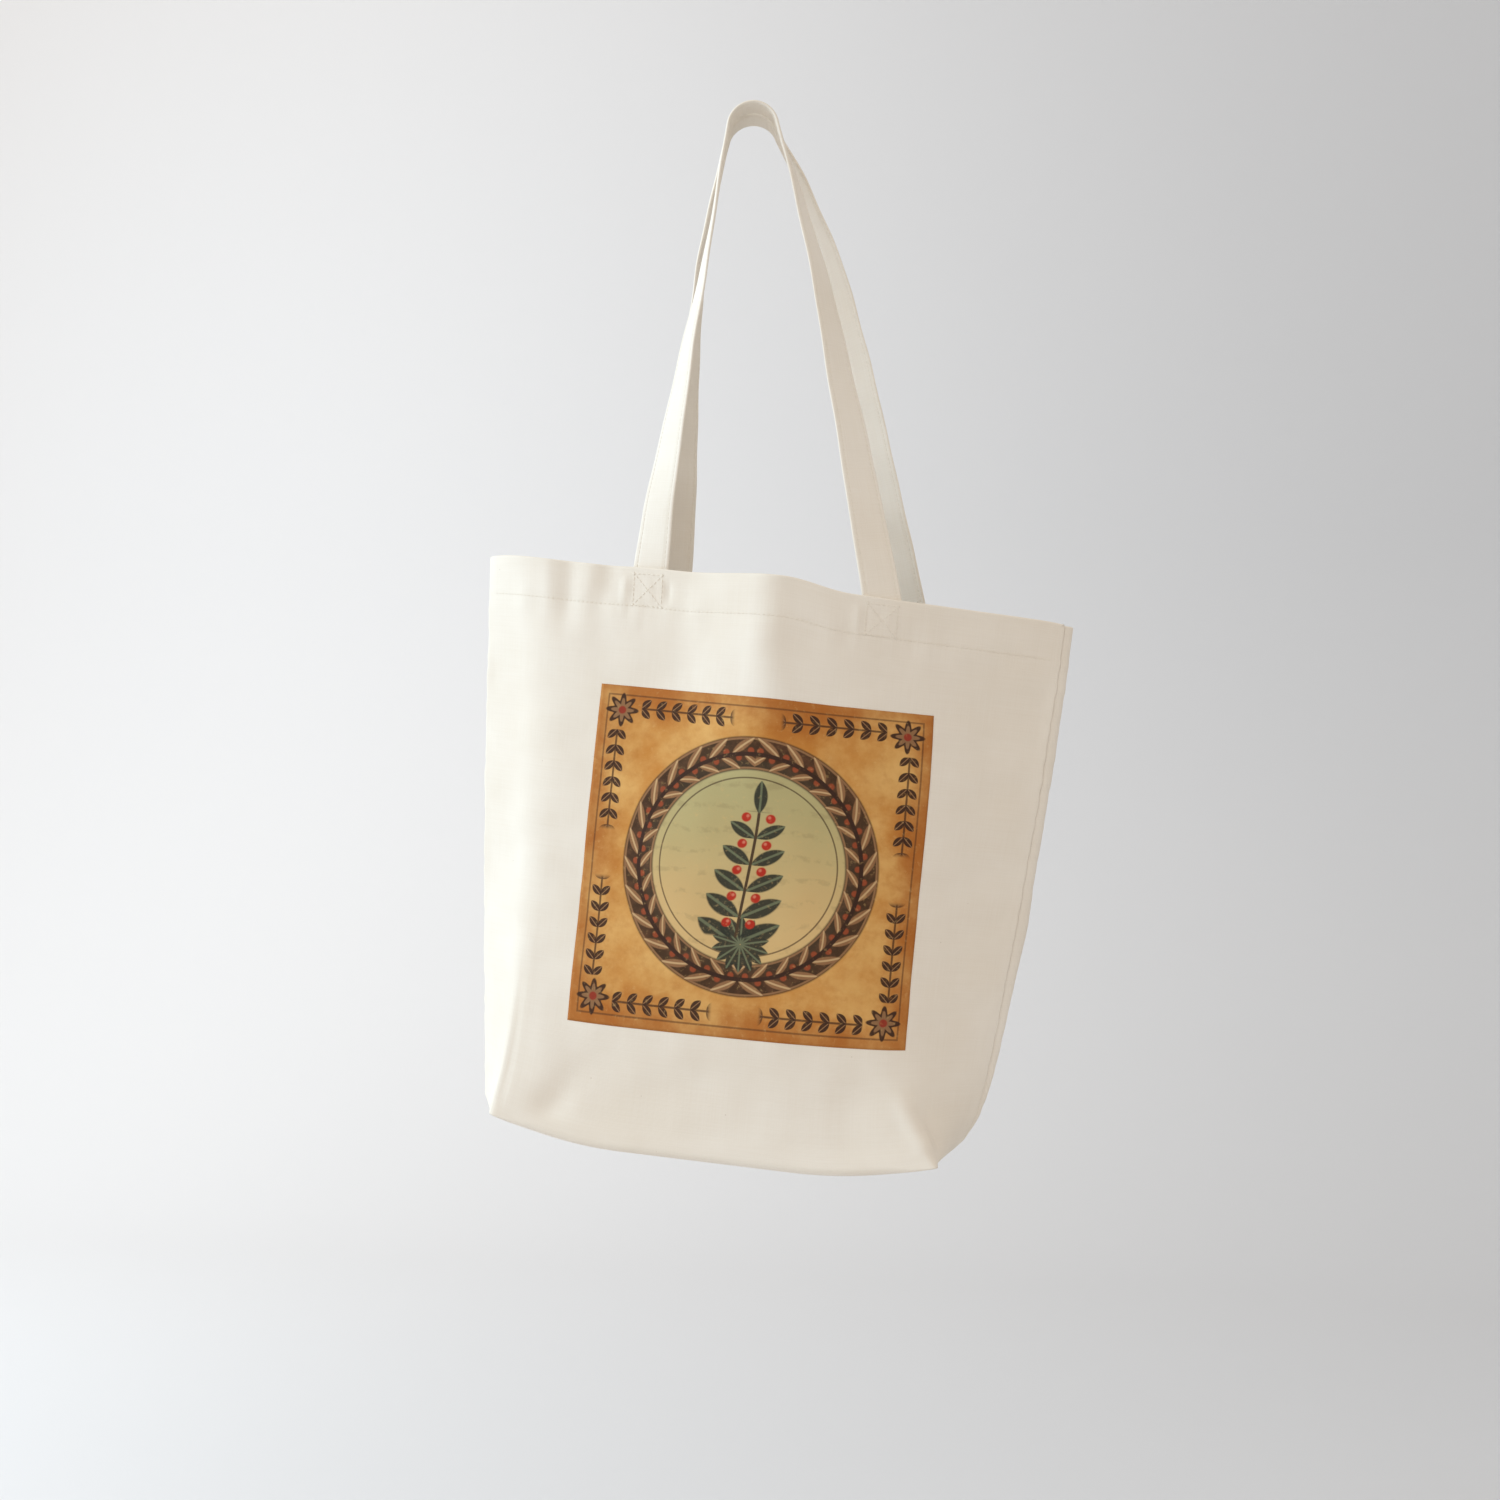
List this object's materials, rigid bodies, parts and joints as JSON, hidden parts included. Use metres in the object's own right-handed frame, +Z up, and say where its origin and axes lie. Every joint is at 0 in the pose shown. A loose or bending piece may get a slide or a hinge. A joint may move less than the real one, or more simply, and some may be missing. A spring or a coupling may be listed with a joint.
{
  "type": "canvas tote bag",
  "caption": "Unlined canvas shopping bag with a boxed base, a turned hem, sewn strap handles and a printed square on its front, hanging open by its handles from a peg.",
  "frame": {"origin": "on the axis of the peg that the handles hang on, midway between both handles", "axes": "+Z up, +Y along the peg towards the wall, so the printed front faces -Y; the bag hangs tilted about Y, its right side lower"},
  "size_m": [0.4174, 0.1108, 0.7194],
  "materials": {
    "canvas": "natural cotton canvas, plain weave with seed flecks, unbleached",
    "strap_canvas": "natural cotton canvas folded into a flat strap",
    "seam_canvas": "overlocked canvas edge",
    "thread": "natural cotton sewing thread",
    "print": "matt ink printed on the canvas, ochre parchment with brown and green leaves"
  },
  "bodies": {
    "bag": {"front_panel": "canvas", "rear_panel": "canvas", "front_hem": "canvas", "rear_hem": "canvas", "left_side_seam": "seam_canvas", "right_side_seam": "seam_canvas", "base_seam": "seam_canvas", "left_corner_seam": "seam_canvas", "right_corner_seam": "seam_canvas", "front_handle_left_end": "strap_canvas", "front_handle_right_end": "strap_canvas", "rear_handle_left_end": "strap_canvas", "rear_handle_right_end": "strap_canvas", "front_hem_stitching": "thread", "rear_hem_stitching": "thread", "front_left_box_stitching": "thread", "front_right_box_stitching": "thread", "rear_left_box_stitching": "thread", "rear_right_box_stitching": "thread", "print_panel": "print"},
    "front_handle": {"front_handle": "strap_canvas", "front_handle_stitching": "thread"},
    "rear_handle": {"rear_handle": "strap_canvas", "rear_handle_stitching": "thread"}
  },
  "joints": [
    {"name": "front_handle_fold", "type": "hinge", "parent": "bag", "child": "front_handle", "pos_m": [0.01771, -0.04763, -0.309], "axis": [0.9942, 0, -0.108], "range_deg": [0, 174]},
    {"name": "rear_handle_fold", "type": "hinge", "parent": "bag", "child": "rear_handle", "pos_m": [0.01771, 0.04763, -0.309], "axis": [-0.9942, 0, 0.108], "range_deg": [0, 174]}
  ]
}
